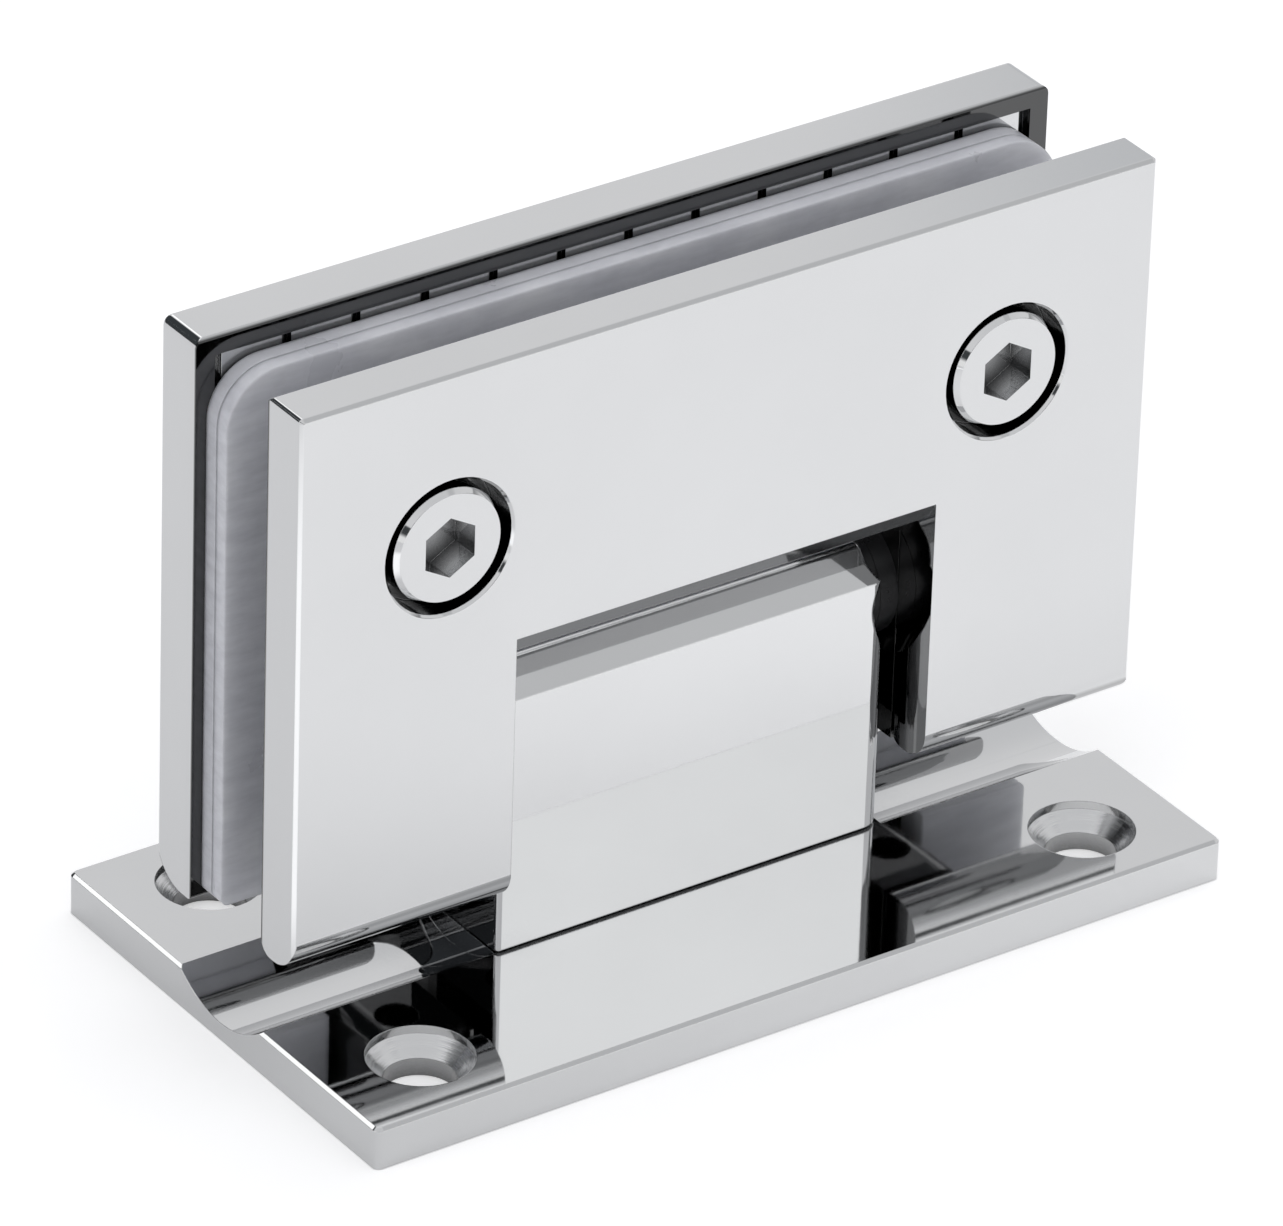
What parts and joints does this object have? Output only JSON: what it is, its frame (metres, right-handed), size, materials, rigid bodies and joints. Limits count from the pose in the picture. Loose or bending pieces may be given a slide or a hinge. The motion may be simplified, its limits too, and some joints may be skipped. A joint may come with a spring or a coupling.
{
  "type": "glass door hinge",
  "caption": "Polished chrome wall-to-glass door hinge: flat wall plate, upright pivot block and a split leaf that clamps the glass edge.",
  "frame": {"origin": "middle of the wall plate's underside, the face that lies on the wall", "axes": "+X along the pivot pin, -Y the side with the clamp screws, +Z away from the wall, towards the glass"},
  "size_m": [0.09, 0.0494, 0.0664],
  "materials": {
    "chrome": "polished",
    "steel": "satin",
    "bearing_plastic": "satin",
    "gasket": "satin"
  },
  "bodies": {
    "wall_side": {"wall_plate": "chrome", "pivot_block": "chrome", "block_screw_left": "steel", "block_screw_right": "steel", "bushing_left": "bearing_plastic", "bushing_right": "bearing_plastic", "detent_spring_left": "steel", "detent_spring_right": "steel"},
    "door_side": {"front_cover": "chrome", "back_cover": "chrome", "gasket_front": "gasket", "gasket_back": "gasket", "clamp_screw_left": "chrome", "clamp_screw_right": "chrome", "pivot_pin": "steel", "pin_set_screw_left": "steel", "pin_set_screw_right": "steel", "thrust_washer_left": "bearing_plastic", "thrust_washer_right": "bearing_plastic"},
    "plunger_left": {"detent_plunger_left": "steel"},
    "plunger_right": {"detent_plunger_right": "steel"}
  },
  "joints": [
    {"name": "door_swing", "type": "hinge", "parent": "wall_side", "child": "door_side", "pos_m": [0, 0, 0.0266], "axis": [1, 0, 0], "range_deg": [-90, 90]},
    {"name": "plunger_left_slide", "type": "slide", "parent": "wall_side", "child": "plunger_left", "axis": [0, 0, 1], "range_m": [0, 0.0008], "stiffness_N_per_m": 2000, "deforming": ["detent_spring_left"]},
    {"name": "plunger_right_slide", "type": "slide", "parent": "wall_side", "child": "plunger_right", "axis": [0, 0, 1], "range_m": [0, 0.0008], "stiffness_N_per_m": 2000, "deforming": ["detent_spring_right"]}
  ]
}
